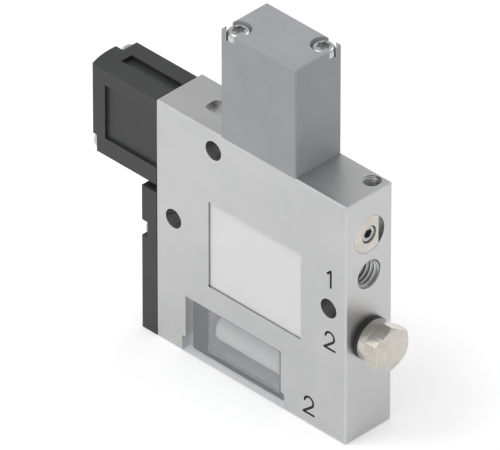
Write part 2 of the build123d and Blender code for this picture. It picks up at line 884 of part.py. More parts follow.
# Valve gasket between the seat block and the body
with BuildPart() as valve_gasket:
    with BuildSketch(facing_right(left, axis_y, cavity_middle)):
        Rectangle(cavity_width - 2 * plate_fit, cavity_top - cavity_bottom - 2 * plate_fit)
        with Locations((0, axis_z - cavity_middle)):
            Circle(jet_entry_dia / 2, mode=Mode.SUBTRACT)
        with Locations((supply_passage_y - axis_y, supply_passage_z - cavity_middle)):
            Circle(valve_inlet_dia / 2, mode=Mode.SUBTRACT)
    extrude(amount=-valve_gasket_thick)
save(valve_gasket.part, "valve_gasket")

# Valve base: the block that holds the seat
with BuildPart() as valve_base:
    with BuildSketch(facing_right(valve_base_x, axis_y, cavity_middle)):
        Rectangle(cavity_width - 2 * plate_fit, cavity_top - cavity_bottom - 2 * plate_fit)
    extrude(amount=-valve_base_thick)
    with BuildSketch(facing_left(seat_x, axis_y, axis_z)):
        Rectangle(seat_recess, seat_recess)
        Circle(seat_dia / 2, mode=Mode.SUBTRACT)
    extrude(amount=-seat_recess_depth, mode=Mode.SUBTRACT)
    drill(facing_right(valve_base_x, axis_y, axis_z), seat_bore_dia, valve_base_thick)
    drill(
        facing_right(valve_base_x, supply_passage_y, supply_passage_z),
        valve_inlet_dia,
        valve_base_thick,
    )
save(valve_base.part, "valve_base")

# Solenoid yoke: one bent strip around the coil
with BuildPart() as solenoid_yoke:
    yoke_line = Plane(origin=(0, axis_y, axis_z), x_dir=(1, 0, 0), z_dir=(0, -1, 0))
    yoke_bottom = -yoke_width / 2
    yoke_top = cavity_above_axis - 2 * plate_fit
    with BuildSketch(yoke_line) as yoke_profile:
        with BuildLine():
            Polyline(
                (seat_x, yoke_bottom),
                (seat_x, yoke_top),
                (yoke_end_x, yoke_top),
                (yoke_end_x, yoke_bottom),
                (yoke_end_x + yoke_sheet, yoke_bottom),
                (yoke_end_x + yoke_sheet, yoke_top - yoke_sheet),
                (bobbin_x, yoke_top - yoke_sheet),
                (bobbin_x, yoke_bottom),
                close=True,
            )
        make_face()
        fillet(yoke_profile.vertices().group_by(Axis.Y)[-1], yoke_bend)
    extrude(amount=yoke_width / 2, both=True)
    drill(
        facing_right(seat_x, axis_y, axis_z),
        core_dia + 2 * bobbin_bore_fit,
        yoke_sheet,
    )
    drill(
        facing_right(yoke_end_x + yoke_sheet, axis_y, axis_z),
        core_dia + 2 * oring_fit,
        yoke_sheet,
    )
save(solenoid_yoke.part, "solenoid_yoke")

# Coil bobbin
with BuildPart() as coil_bobbin:
    with BuildSketch(facing_left(bobbin_x, axis_y, axis_z)):
        Circle(bobbin_tube_dia / 2)
    extrude(amount=bobbin_length)
    for flange_x in (bobbin_x, bobbin_x - bobbin_length + bobbin_flange_thick):
        with BuildSketch(facing_left(flange_x, axis_y, axis_z)):
            Circle(bobbin_flange_dia / 2)
        extrude(amount=bobbin_flange_thick)
    drill(facing_right(bobbin_x, axis_y, axis_z), core_dia + 2 * bobbin_bore_fit, bobbin_length)
save(coil_bobbin.part, "coil_bobbin")

# Coil winding
with BuildPart() as coil_winding:
    with BuildSketch(facing_left(bobbin_x - bobbin_flange_thick, axis_y, axis_z)):
        Circle(winding_dia / 2)
        Circle(bobbin_tube_dia / 2 + oring_fit, mode=Mode.SUBTRACT)
    extrude(amount=bobbin_length - 2 * bobbin_flange_thick)
save(coil_winding.part, "coil_winding")

# Fixed core
with BuildPart() as fixed_core:
    with Locations(facing_right(yoke_end_x, axis_y, axis_z)):
        Cylinder(
            core_dia / 2,
            fixed_core_length,
            align=(Align.CENTER, Align.CENTER, Align.MIN),
        )
save(fixed_core.part, "fixed_core")

# Armature: bored for its spring at the back and for its seal at the front
with BuildPart() as armature:
    armature_length = armature_front_x - armature_back_x
    seal_pocket = armature_seal_thick - armature_seal_proud
    with Locations(facing_right(armature_back_x, axis_y, axis_z)):
        Cylinder(
            core_dia / 2,
            armature_length,
            align=(Align.CENTER, Align.CENTER, Align.MIN),
        )
    drill(
        facing_left(armature_back_x, axis_y, axis_z),
        armature_spring_bore_dia,
        armature_spring_bore_depth,
    )
    drill(
        facing_right(armature_front_x, axis_y, axis_z),
        armature_seal_dia + 2 * oring_fit,
        seal_pocket,
    )
save(armature.part, "armature")

# Armature seal
with BuildPart() as armature_seal:
    with Locations(facing_right(armature_front_x - seal_pocket, axis_y, axis_z)):
        Cylinder(
            armature_seal_dia / 2,
            armature_seal_thick,
            align=(Align.CENTER, Align.CENTER, Align.MIN),
        )
save(armature_seal.part, "armature_seal")

# Springs of the armature and of the manual override
spring_places = (
    (
        "armature_spring",
        core_face_x,
        armature_back_x + armature_spring_bore_depth,
        axis_y,
        axis_z,
        armature_spring_dia,
        armature_spring_turns,
    ),
    (
        "override_spring",
        left - override_spring_length,
        left,
        override_y,
        override_z,
        override_spring_dia,
        override_spring_turns,
    ),
)
for spring_name, spring_start, spring_end, spring_y, spring_z, coil_dia, turns in spring_places:
    spring_rise = spring_end - spring_start - spring_wire_dia
    with BuildPart() as spring:
        with BuildLine() as coil:
            Helix(
                pitch=spring_rise / turns,
                height=spring_rise,
                radius=(coil_dia - spring_wire_dia) / 2,
                center=(spring_start + spring_wire_dia / 2, spring_y, spring_z),
                direction=(1, 0, 0),
            )
        with BuildSketch(Plane(origin=coil.line @ 0, z_dir=coil.line % 0)):
            RegularPolygon(spring_wire_dia / 2, wire_faces)
        sweep(path=coil.line, is_frenet=True)
    save(spring.part, spring_name)

# Manual override button: a stem in the end wall and a longer shaft behind it
with BuildPart() as override_button:
    shaft_start_x = override_shoulder_x + override_rest_gap
    shaft_end_x = left - override_spring_length
    with Locations(facing_right(shaft_start_x, override_y, override_z)):
        Cylinder(
            override_dia / 2,
            shaft_end_x - shaft_start_x,
            align=(Align.CENTER, Align.CENTER, Align.MIN),
        )
        Cylinder(
            override_stem_dia / 2,
            override_stem_proud,
            align=(Align.CENTER, Align.CENTER, Align.MAX),
        )
save(override_button.part, "override_button")

# Contact pins of the electrical socket
for number, pin_y in enumerate((axis_y - pin_spacing / 2, axis_y + pin_spacing / 2), 1):
    with BuildPart() as contact_pin:
        pin_root_x = left - cavity_depth
        with Locations(facing_left(pin_root_x, pin_y, axis_z + socket_above_axis)):
            Cylinder(pin_dia / 2, pin_length, align=(Align.CENTER, Align.CENTER, Align.MIN))
        chamfer(contact_pin.faces().sort_by(Axis.X)[0].edges(), pin_chamfer)
    save(contact_pin.part, f"contact_pin_{number}")

# Cover plate: two notches hold its screws, and a groove holds the gasket
with BuildPart() as cover_plate:
    with BuildSketch(facing_left(left, 0, 0)):
        Rectangle(body_thick, cover_top, align=(Align.CENTER, Align.MIN))
    extrude(amount=cover_thick)
    chamfer(cover_plate.faces().sort_by(Axis.X)[0].edges(), edge_break)
    notch_floor_x = left - cover_thick + cover_notch_depth
    with BuildSketch(facing_left(notch_floor_x, 0, 0)):
        with Locations((-front, cover_notch_z)):
            Rectangle(cover_notch_width, cover_notch, align=(Align.MAX, Align.CENTER))
        with Locations((-rear, cover_top - cover_notch_z)):
            Rectangle(cover_notch_width, cover_notch, align=(Align.MIN, Align.CENTER))
    extrude(amount=cover_notch_depth, mode=Mode.SUBTRACT)
    for screw_y, place_z in cover_screw_places:
        drill(
            facing_left(notch_floor_x, screw_y, place_z),
            cover_screw_dia + 2 * screw_clear,
            cover_thick,
        )
    with BuildSketch(facing_right(left, filter_y, cover_top / 2)):
        RectangleRounded(cover_gasket_width, cover_top - 2 * cover_gasket_end, cover_corner)
    extrude(amount=-cover_gasket_thick, mode=Mode.SUBTRACT)
save(cover_plate.part, "cover_plate")

# Cover gasket
with BuildPart() as cover_gasket:
    with BuildSketch(facing_right(left, filter_y, cover_top / 2)):
        RectangleRounded(
            cover_gasket_width - 2 * plate_fit,
            cover_top - 2 * cover_gasket_end - 2 * plate_fit,
            cover_corner - plate_fit,
        )
    extrude(amount=-cover_gasket_thick)
save(cover_gasket.part, "cover_gasket")

# Cover screws
for number, (screw_y, place_z) in enumerate(cover_screw_places, 1):
    with BuildPart() as cover_screw:
        with Locations(facing_left(notch_floor_x, screw_y, place_z)):
            Cylinder(
                cover_screw_dia / 2,
                cover_thick - cover_notch_depth + cover_thread_length,
                align=(Align.CENTER, Align.CENTER, Align.MAX),
            )
            Cylinder(
                cover_head_dia / 2,
                cover_head_height,
                align=(Align.CENTER, Align.CENTER, Align.MIN),
            )
        star_plane = facing_left(notch_floor_x - cover_head_height, screw_y, place_z)
        star_socket(star_plane, cover_star_size, cover_star_depth)
    save(cover_screw.part, f"cover_screw_{number}")

# Filter window: a clear plate with a lug at each side
with BuildPart() as filter_window:
    with BuildSketch(facing_front(window_x, front, 0)) as window_outline:
        Rectangle(
            window_length + 2 * window_lug,
            window_lug_height,
            align=(Align.CENTER, Align.MIN),
        )
        fillet(window_outline.vertices().group_by(Axis.Y)[-1], window_lug_corner)
        Rectangle(window_length, window_height, align=(Align.CENTER, Align.MIN))
    extrude(amount=-window_thick)
save(filter_window.part, "filter_window")

# Seal behind the window
with BuildPart() as filter_window_seal:
    with BuildSketch(facing_front(window_x, ledge_y, filter_z)):
        RectangleRounded(
            window_length - 2 * window_seal_inset,
            window_height - 2 * window_seal_inset,
            window_corner,
        )
        with Locations((chamber_x - window_x, 0)):
            RectangleRounded(
                chamber_right - chamber_left + 2 * seal_overhang,
                chamber_height + 2 * seal_overhang,
                window_corner,
                mode=Mode.SUBTRACT,
            )
    extrude(amount=window_seal_thick)
save(filter_window_seal.part, "filter_window_seal")

# Filter seal, element and end cap, in a row across the chamber
filter_start_x = chamber_left + filter_seal_thick
filter_end_x = chamber_right - filter_cap_thick
with BuildPart() as filter_seal:
    with BuildSketch(facing_right(chamber_left, filter_y, filter_z)):
        Circle(filter_dia / 2)
        Circle(filter_bore_dia / 2, mode=Mode.SUBTRACT)
    extrude(amount=filter_seal_thick)
save(filter_seal.part, "filter_seal")

with BuildPart() as filter_element:
    with BuildSketch(facing_right(filter_start_x, filter_y, filter_z)):
        Circle(filter_dia / 2)
        Circle(filter_bore_dia / 2, mode=Mode.SUBTRACT)
    extrude(amount=filter_end_x - filter_start_x)
save(filter_element.part, "filter_element")

with BuildPart() as filter_end_cap:
    with BuildSketch(facing_left(chamber_right, filter_y, filter_z)):
        Circle(filter_dia / 2)
    extrude(amount=filter_cap_thick)
    with BuildSketch(facing_left(filter_end_x, filter_y, filter_z)):
        Circle(filter_bore_dia / 2 - oring_fit)
    extrude(amount=filter_cap_spigot)
save(filter_end_cap.part, "filter_end_cap")
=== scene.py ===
import json
from math import cos, pi, radians, sin

import bmesh
import bpy
from mathutils import Matrix, Vector


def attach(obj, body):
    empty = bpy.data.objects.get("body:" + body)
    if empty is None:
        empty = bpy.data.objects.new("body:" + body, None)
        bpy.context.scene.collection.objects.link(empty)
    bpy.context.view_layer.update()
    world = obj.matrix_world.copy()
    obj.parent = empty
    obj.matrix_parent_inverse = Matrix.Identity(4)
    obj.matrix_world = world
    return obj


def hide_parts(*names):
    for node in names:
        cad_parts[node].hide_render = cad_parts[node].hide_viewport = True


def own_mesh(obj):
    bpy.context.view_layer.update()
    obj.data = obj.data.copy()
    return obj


MM = 0.001

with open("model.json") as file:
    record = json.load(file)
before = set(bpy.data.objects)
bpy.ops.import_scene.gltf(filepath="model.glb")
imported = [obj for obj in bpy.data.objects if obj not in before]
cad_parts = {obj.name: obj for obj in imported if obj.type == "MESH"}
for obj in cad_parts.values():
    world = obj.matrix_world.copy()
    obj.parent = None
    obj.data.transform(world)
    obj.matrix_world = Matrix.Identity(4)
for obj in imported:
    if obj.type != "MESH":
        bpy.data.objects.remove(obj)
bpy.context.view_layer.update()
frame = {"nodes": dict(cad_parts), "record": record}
nodes = frame["nodes"]


# Measures of the block, in millimetres, as in the source of the solids
body_right = 20.6
body_front = -5.0
body_top = 44.6
supply_port = (body_right, 0.0, 29.8)
side_port = (body_right, 0.0, 18.1)
base_port = (13.0, 0.0, 0.0)
top_thread = (18.15, 3.0, body_top)
screw_axis = (body_right, 0.0, 37.25)
valve_axis = (0.0, -0.3, 35.6)
pin_axis = (0.0, -0.3, 37.8)

# Threads: the radii at their crests and roots, their pitch and the length that is cut
port_thread = {"core": 2.1, "major": 2.48, "pitch": 0.8, "length": 5.6}
small_thread = {"core": 1.25, "major": 1.47, "pitch": 0.5, "length": 4.1}

# The bores that take the threads: their radii, and how far a cutter stands out of their mouths
port_bore = 2.5
small_bore = 1.48
cut_above = 0.4

# Where a thread starts below its mouth, and how thick its wall is
thread_start = 0.12
thread_wall = 0.03

# Screws: where their heads sit, and the sizes of their heads, star sockets and shanks
silencer_screws = {
    "silencer_screw_1": (-4.5, -3.05, 62.95),
    "silencer_screw_2": (7.6, 3.05, 62.95),
}
valve_screws = {"valve_screw_1": (-33.7, -3.2, 30.1), "valve_screw_2": (-33.7, 2.2, 42.8)}
cover_screws = {"cover_screw_1": (-22.64, -3.4, 18.9), "cover_screw_2": (-22.64, 3.4, 8.1)}
silencer_screw = {"head": 1.9, "height": 1.5, "key": 2.3, "shank": 1.0, "reach": 23.35}
valve_screw = {"head": 1.8, "height": 1.0, "key": 1.7, "shank": 1.0, "reach": 17.1}
cover_screw = {"head": 1.4, "height": 0.85, "key": 1.5, "shank": 0.8, "reach": 6.0}

# Springs: where they lie, how they are wound, and how far which joint presses them
springs = {
    "armature_spring": {
        "start": (-28.2, -0.3, 35.6),
        "length": 2.52,
        "width": 1.9,
        "wire": 0.24,
        "turns": 3.0,
        "joint": "armature_stroke",
        "pressed": 0.5,
    },
    "override_spring": {
        "start": (-24.0, 1.8, 30.4),
        "length": 3.4,
        "width": 1.9,
        "wire": 0.24,
        "turns": 4.0,
        "joint": "override_press",
        "pressed": -0.6,
    },
}

# Outer pieces: their material slots, and how wide their edges are rounded
casings = {
    "silencer_housing": ("silencer_case", 0.16),
    "valve_housing": ("black_plastic", 0.14),
    "cover_plate": ("cover_case", 0.14),
    "label_plate": ("label", 0.06),
    "filter_window": ("clear_window", 0.12),
    "plug_seal_ring": ("plug_seal", 0.12),
    "screw_plug": ("nickel_turned", 0.07),
    "regulating_insert": ("nickel_turned", 0.05),
    "regulating_screw": ("steel_turned", 0.04),
}

# The bend in degrees from which an edge is shaded sharp, for each kind of piece
piece_sharp = 38
block_sharp = 32
screw_sharp = 35
thread_sharp = 50


class Field:
    """A value or colour that varies over a surface, held by one socket of a material."""

    def __init__(self, finish, socket):
        self.finish = finish
        self.socket = socket

    def math(self, operation, first, second):
        return self.finish.node("ShaderNodeMath", {"operation": operation}, {0: first, 1: second})

    def __add__(self, other):
        return self.math("ADD", self, other)

    def __radd__(self, other):
        return self.math("ADD", other, self)

    def __sub__(self, other):
        return self.math("SUBTRACT", self, other)

    def __rsub__(self, other):
        return self.math("SUBTRACT", other, self)

    def __mul__(self, other):
        return self.math("MULTIPLY", self, other)

    def __rmul__(self, other):
        return self.math("MULTIPLY", other, self)


class NodeTree:
    """The nodes of a material or of the world, and the shader that they feed."""

    def __init__(self, tree, shader, constants):
        self.tree = tree
        self.shader = tree.nodes[shader]
        for socket, value in constants.items():
            self.shader.inputs[socket].default_value = value

    def node(self, kind, settings, inputs, output=0):
        """Adds a node, sets it up, and gives back one of its outputs."""
        made = self.tree.nodes.new(kind)
        for name, value in settings.items():
            setattr(made, name, value)
        for name, value in inputs.items():
            if isinstance(value, Field):
                self.tree.links.new(value.socket, made.inputs[name])
            else:
                made.inputs[name].default_value = value
        return Field(self, made.outputs[output])

    def feed(self, socket, field):
        self.tree.links.new(field.socket, self.shader.inputs[socket])

    def range(self, field, low, high, new_low=0.0, new_high=1.0):
        """Stretches the part of a field between two values over another range."""
        return self.node(
            "ShaderNodeMapRange",
            {"clamp": True},
            {"Value": field, 1: low, 2: high, 3: new_low, 4: new_high},
        )

    def mix(self, amount, first, second):
        """A colour between two colours."""
        return self.node(
            "ShaderNodeMix",
            {"data_type": "RGBA"},
            {0: amount, 6: first, 7: second},
            2,
        )

    def background_rays(self):
        """1 for the rays that show the background: those of the camera, of metal and of glass."""
        rays = [
            self.node("ShaderNodeLightPath", {}, {}, kind)
            for kind in ("Is Camera Ray", "Is Glossy Ray", "Is Transmission Ray")
        ]
        return self.range(rays[0] + rays[1] + rays[2], 0.0, 1.0)


class Finish(NodeTree):
    """A material in the making: its colour, its gloss and its relief."""

    def __init__(self, name, constants):
        self.material = bpy.data.materials.new(name)
        self.material.use_nodes = True
        super().__init__(self.material.node_tree, "Principled BSDF", constants)
        self.place = self.node("ShaderNodeTexCoord", {}, {}, "Object")

    def noise(self, size, detail=2.0, rough=0.5, place=None):
        """Cloudy noise from 0 to 1 whose lumps are about `size` millimetres."""
        return self.node(
            "ShaderNodeTexNoise",
            {},
            {
                "Vector": place or self.place,
                "Scale": 1 / (size * MM),
                "Detail": detail,
                "Roughness": rough,
            },
        )

    def cells(self, size, place=None):
        """Distance to the nearest of many points about `size` millimetres apart."""
        return self.node(
            "ShaderNodeTexVoronoi", {}, {"Vector": place or self.place, "Scale": 1 / (size * MM)}
        )

    def moved(self, centre, scale=(1, 1, 1)):
        """The place on the surface, counted from a centre in millimetres and stretched."""
        shift = [-c * MM * s for c, s in zip(centre, scale)]
        return self.node(
            "ShaderNodeMapping", {}, {"Vector": self.place, "Location": shift, "Scale": scale}
        )

    def sine(self, field, length):
        """Waves from 0 to 1 along a field in metres, each `length` millimetres."""
        wave = self.node(
            "ShaderNodeMath", {"operation": "SINE"}, {0: field * (2 * pi / (length * MM))}
        )
        return wave * 0.5 + 0.5

    def relief(self, field, depth):
        """Raises the surface by a field, `depth` millimetres at most."""
        bump = self.node(
            "ShaderNodeBump", {}, {"Height": field, "Distance": depth * MM, "Strength": 1.0}
        )
        self.feed("Normal", bump)

    def edges(self, width):
        """1 on the edges of a piece and 0 elsewhere, `width` millimetres wide."""
        rounded = self.node("ShaderNodeBevel", {"samples": 4}, {"Radius": width * MM})
        flat = self.node("ShaderNodeNewGeometry", {}, {}, "Normal")
        alike = self.node(
            "ShaderNodeVectorMath", {"operation": "DOT_PRODUCT"}, {0: rounded, 1: flat}, "Value"
        )
        still_flat, well_round = 0.995, 0.85
        return self.range(alike, still_flat, well_round)


def shade(value, tint=(1.0, 1.0, 1.0)):
    """A grey with a slight tint, as a colour."""
    return (value * tint[0], value * tint[1], value * tint[2], 1.0)


def anodised_block():
    """Natural anodised aluminium: faint lines along its bar, a blasted grain, and a painted
    highlight along its edges.
    """
    finish = Finish("anodised_block", {"Metallic": 1.0})
    blast = finish.noise(0.16, detail=3, rough=0.6)
    along_bar = finish.moved((0, 0, 0), (0.025, 1, 1))
    drawn = finish.noise(0.45, detail=4, rough=0.65, place=along_bar)
    cloud = finish.noise(9, detail=4, rough=0.6)
    spots = finish.range(finish.noise(1.4, detail=4, rough=0.7), 0.62, 0.8)
    edge = finish.edges(0.22)
    shades = shade(0.49, (1, 1.005, 1.02)), shade(0.54)
    tone = finish.mix(finish.range(cloud * 0.6 + drawn * 0.4, 0.35, 0.65), *shades)
    grain = (cloud - 0.5) * 0.10 + (blast - 0.5) * 0.10 + (drawn - 0.5) * 0.16 + spots * 0.05
    # Painted highlight: the colour is mixed towards a paler grey along the edges
    finish.feed("Base Color", finish.mix(edge * 0.6, tone, shade(0.72)))
    finish.feed("Roughness", 0.40 + grain - edge * 0.1)
    finish.relief(blast + drawn, 0.006)
    return finish.material


def marking_ink():
    """Dark ink in the engraved port numbers."""
    finish = Finish("marking_ink", {"Specular IOR Level": 0.3})
    grain = finish.noise(0.12, detail=3, rough=0.7)
    finish.feed("Base Color", finish.mix(grain, shade(0.018), shade(0.045)))
    finish.feed("Roughness", 0.6 + grain * 0.25)
    finish.relief(grain, 0.01)
    return finish.material


def moulded(name, tones, tint, rough, grain_size, depth):
    """Moulded plastic with the fine eroded texture of its tool, and a painted highlight on its
    edges.
    """
    dark, light = tones
    finish = Finish(name, {"Specular IOR Level": 0.4})
    grain = finish.cells(grain_size)
    fine = finish.noise(grain_size * 0.6, detail=3, rough=0.6)
    flow = finish.noise(7, detail=3, rough=0.5)
    edge = finish.edges(0.2)
    tone = finish.mix(finish.range(flow, 0.3, 0.7), shade(dark, tint), shade(light, tint))
    # Painted highlight: the colour is mixed towards a paler tone along the edges
    finish.feed("Base Color", finish.mix(edge * 0.6, tone, shade(light * 1.5 + 0.012, tint)))
    finish.feed("Roughness", rough + (fine - 0.5) * 0.16 + (flow - 0.5) * 0.08 - edge * 0.1)
    finish.relief(grain * 0.7 + fine * 0.6, depth)
    return finish.material


def label_film():
    """Satin film: even, with a faint grain and tiny wrinkles from laying it."""
    finish = Finish("label", {"Specular IOR Level": 0.5})
    grain = finish.noise(0.1, detail=2)
    laid = finish.noise(6, detail=2, rough=0.4)
    finish.feed("Base Color", finish.mix(laid, shade(0.70, (1, 1, 1.005)), shade(0.74)))
    finish.feed("Roughness", 0.42 + (grain - 0.5) * 0.1)
    finish.relief(grain * 0.15 + laid, 0.02)
    return finish.material


def turned(name, centre, colour, rough):
    """Turned metal: rings around an axis along X, through a centre given in millimetres, and a
    painted highlight on its edges.
    """
    finish = Finish(name, {"Metallic": 1.0})
    flat_place = finish.moved(centre, (0.0, 1.0, 1.0))
    radius = finish.node("ShaderNodeVectorMath", {"operation": "LENGTH"}, {0: flat_place}, "Value")
    rings = finish.sine(radius, 0.14)
    dust = finish.noise(0.3, detail=4, rough=0.7)
    cloud = finish.noise(2.2, detail=3, rough=0.6)
    edge = finish.edges(0.15)
    dull = tuple(c * 0.80 for c in colour[:3]) + (1.0,)
    tone = finish.mix(finish.range(cloud, 0.3, 0.75), colour, dull)
    # Painted highlight: the colour is mixed towards a pale grey along the edges
    finish.feed("Base Color", finish.mix(edge * 0.5, tone, shade(0.9)))
    finish.feed(
        "Roughness",
        rough + (cloud - 0.5) * 0.14 + (rings - 0.5) * 0.06 + (dust - 0.5) * 0.08,
    )
    finish.relief(rings * 0.7 + dust * 0.3, 0.004)
    return finish.material


def zinc_plate():
    """Zinc-plated steel: small scratches, a faint blue and yellow play of the passivation, and a
    painted highlight on its edges.
    """
    finish = Finish("zinc_screw", {"Metallic": 1.0})
    play = finish.noise(0.9, detail=3, rough=0.6)
    scratch = finish.noise(0.08, detail=4, rough=0.8)
    edge = finish.edges(0.1)
    shades = shade(0.50, (1.0, 0.99, 0.93)), shade(0.56, (0.96, 0.99, 1.03))
    tone = finish.mix(finish.range(play, 0.35, 0.65), *shades)
    # Painted highlight: the colour is mixed towards a pale grey along the edges
    finish.feed("Base Color", finish.mix(edge * 0.6, tone, shade(0.80)))
    finish.feed("Roughness", 0.26 + (scratch - 0.5) * 0.2 + (play - 0.5) * 0.1)
    finish.relief(scratch, 0.004)
    return finish.material


def rubber():
    """Black nitrile rubber with a dull, dusty skin."""
    finish = Finish("rubber_seal", {"Specular IOR Level": 0.35})
    skin = finish.noise(0.25, detail=4, rough=0.7)
    bloom = finish.noise(2.5, detail=3, rough=0.6)
    dusty = finish.range(bloom, 0.35, 0.75)
    finish.feed("Base Color", finish.mix(dusty, shade(0.016), shade(0.034)))
    finish.feed("Roughness", 0.62 + (skin - 0.5) * 0.25)
    finish.relief(skin, 0.012)
    return finish.material


def clear_plastic():
    """Clear moulded plastic with a cool tint, faint flow lines and fine scratches."""
    finish = Finish("clear_window", {"IOR": 1.49, "Coat Weight": 1.0, "Coat Roughness": 0.03})
    along_window = finish.moved((0, 0, 0), (0.35, 1, 1))
    flow = finish.noise(3.5, detail=2, rough=0.4, place=along_window)
    scratch = finish.range(finish.noise(0.12, detail=3, rough=0.8), 0.55, 0.75)
    slant = finish.node("ShaderNodeLayerWeight", {}, {"Blend": 0.35}, "Facing")
    shades = shade(0.66, (0.93, 1.0, 1.04)), shade(0.74, (0.95, 1.0, 1.03))
    finish.feed("Base Color", finish.mix(flow, *shades))
    finish.feed("Alpha", 0.16 + slant * 0.34 + finish.edges(0.25) * 0.35 + scratch * 0.04)
    finish.feed("Roughness", 0.07 + scratch * 0.08 + flow * 0.03)
    finish.relief(flow + scratch * 0.03, 0.01)
    return finish.material


def sintered(name, colour, grain_size):
    """Sintered beads: pale, matt and open-grained, with painted shade in the pores between them.
    """
    finish = Finish(name, {"Specular IOR Level": 0.3})
    beads = finish.cells(grain_size)
    cloud = finish.noise(3, detail=3, rough=0.6)
    pores = finish.range(beads, 0.35, 0.8)
    dark = tuple(c * 0.72 for c in colour[:3]) + (1.0,)
    # Painted shade: darker in the sunken pores between the beads, with a random cloudy tone on top
    finish.feed("Base Color", finish.mix(pores * 0.6 + (cloud - 0.5) * 0.3, colour, dark))
    finish.feed("Roughness", 0.75 + pores * 0.2)
    finish.relief(1 - beads, 0.06)
    return finish.material


def copper_wire():
    """Enamelled copper wire: its turns lie side by side along X."""
    finish = Finish("copper_winding", {"Metallic": 1.0, "Coat Roughness": 0.15})
    along = finish.node("ShaderNodeSeparateXYZ", {}, {0: finish.place}, "X")
    turns = finish.sine(along, 0.2)
    cloud = finish.noise(1.5, detail=3)
    bright, deep = (0.66, 0.27, 0.12, 1), (0.45, 0.16, 0.07, 1)
    finish.feed("Base Color", finish.mix(cloud, bright, deep))
    finish.feed("Roughness", 0.3 + cloud * 0.15)
    finish.relief(turns, 0.06)
    return finish.material


# Finishes, under the names of the record's material slots, and one more for the small insert
brass_colour = (0.62, 0.44, 0.18, 1)
pin_colour = (0.72, 0.53, 0.2, 1)
nickel_colour = (0.58, 0.553, 0.50, 1)
steel_colour = (0.46, 0.47, 0.48, 1)
sleeve_colour = (0.8, 0.8, 0.76, 1)
felt_colour = (0.83, 0.83, 0.79, 1)
no_tint = (1.0, 1.0, 1.0)
grey_tint = (0.97, 1.0, 1.05)
black_tint = (0.98, 1.0, 1.04)
pale_tint = (1.0, 0.98, 0.90)
blue_tint = (0.08, 0.35, 1.3)
finishes = {
    "anodised_block": anodised_block(),
    "label": label_film(),
    "silencer_case": moulded(
        "silencer_case", (0.30, 0.34), grey_tint, rough=0.50, grain_size=0.28, depth=0.02
    ),
    "rubber_seal": rubber(),
    "porous_sleeve": sintered("porous_sleeve", sleeve_colour, grain_size=0.3),
    "zinc_screw": zinc_plate(),
    "brass_turned": turned("brass_turned", valve_axis, brass_colour, rough=0.25),
    "nickel_turned": turned("nickel_turned", side_port, nickel_colour, rough=0.2),
    "steel_turned": turned("steel_turned", screw_axis, steel_colour, rough=0.26),
    "plug_seal": moulded(
        "plug_seal", (0.014, 0.022), no_tint, rough=0.5, grain_size=0.2, depth=0.01
    ),
    "black_plastic": moulded(
        "black_plastic", (0.026, 0.034), black_tint, rough=0.44, grain_size=0.26, depth=0.02
    ),
    "pale_plastic": moulded(
        "pale_plastic", (0.60, 0.66), pale_tint, rough=0.45, grain_size=0.3, depth=0.01
    ),
    "copper_winding": copper_wire(),
    "spring_steel": turned("spring_steel", valve_axis, steel_colour, rough=0.3),
    "insert_nickel": turned("insert_nickel", screw_axis, nickel_colour, rough=0.22),
    "button_plastic": moulded(
        "button_plastic", (0.30, 0.34), blue_tint, rough=0.35, grain_size=0.3, depth=0.006
    ),
    "pin_brass": turned("pin_brass", pin_axis, pin_colour, rough=0.2),
    "cover_case": moulded(
        "cover_case", (0.032, 0.040), black_tint, rough=0.50, grain_size=0.24, depth=0.016
    ),
    "clear_window": clear_plastic(),
    "filter_felt": sintered("filter_felt", felt_colour, grain_size=0.35),
}
ink = marking_ink()

bodies = frame["record"]["behaviour"]["bodies"]
body_of = {node: body for body, members in bodies.items() for node in members}

for part in frame["record"]["subparts"]:
    solid = nodes[part["node"]]
    solid.data.materials.clear()
    solid.data.materials.append(finishes[part["material_slot"]])


def joined_copy(node):
    """A copy of a CAD node's mesh with its loose triangles joined and its flat faces whole."""
    shape = bmesh.new()
    shape.from_mesh(nodes[node].data)
    bmesh.ops.remove_doubles(shape, verts=shape.verts, dist=0.002 * MM)
    bmesh.ops.dissolve_limit(
        shape, angle_limit=radians(0.6), verts=shape.verts, edges=shape.edges, delimit=set()
    )
    return shape


def soften(shape, width):
    """Rounds the sharp edges of a shape by a width in millimetres."""
    least_bend = radians(28)
    sharp = [
        edge
        for edge in shape.edges
        if edge.is_manifold and edge.calc_face_angle() > least_bend
    ]
    bmesh.ops.bevel(
        shape,
        geom=sharp,
        offset=width * MM,
        offset_type="OFFSET",
        affect="EDGES",
        segments=2,
        profile=0.5,
        material=-1,
        clamp_overlap=True,
    )


def polish(made, angle):
    """Shades the curved faces of an object smooth up to an angle, and its flat faces flat."""
    mesh = made.data
    if "custom_normal" in mesh.attributes:
        mesh.attributes.remove(mesh.attributes["custom_normal"])
    shape = bmesh.new()
    shape.from_mesh(mesh)
    least_bend, most_bend = radians(1), radians(angle)
    for face in shape.faces:
        bends = [edge.calc_face_angle(pi) for edge in face.edges]
        face.smooth = any(least_bend < bend < most_bend for bend in bends)
    shape.to_mesh(mesh)
    shape.free()
    mesh.set_sharp_from_angle(angle=most_bend)
    made.modifiers.clear()
    level = made.modifiers.new("level", "WEIGHTED_NORMAL")
    level.keep_sharp = True


def piece(name, shape, slot, body="block", stands_for=(), material=None, angle=piece_sharp):
    """Makes an object of a finished shape, with its finish, its body and the nodes it replaces."""
    mesh = bpy.data.meshes.new(name)
    shape.to_mesh(mesh)
    shape.free()
    made = bpy.data.objects.new(name, mesh)
    bpy.context.scene.collection.objects.link(made)
    mesh.materials.clear()
    mesh.materials.append(material or finishes[slot])
    polish(made, angle)
    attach(made, body)
    if stands_for:
        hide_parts(*stands_for)
    return made


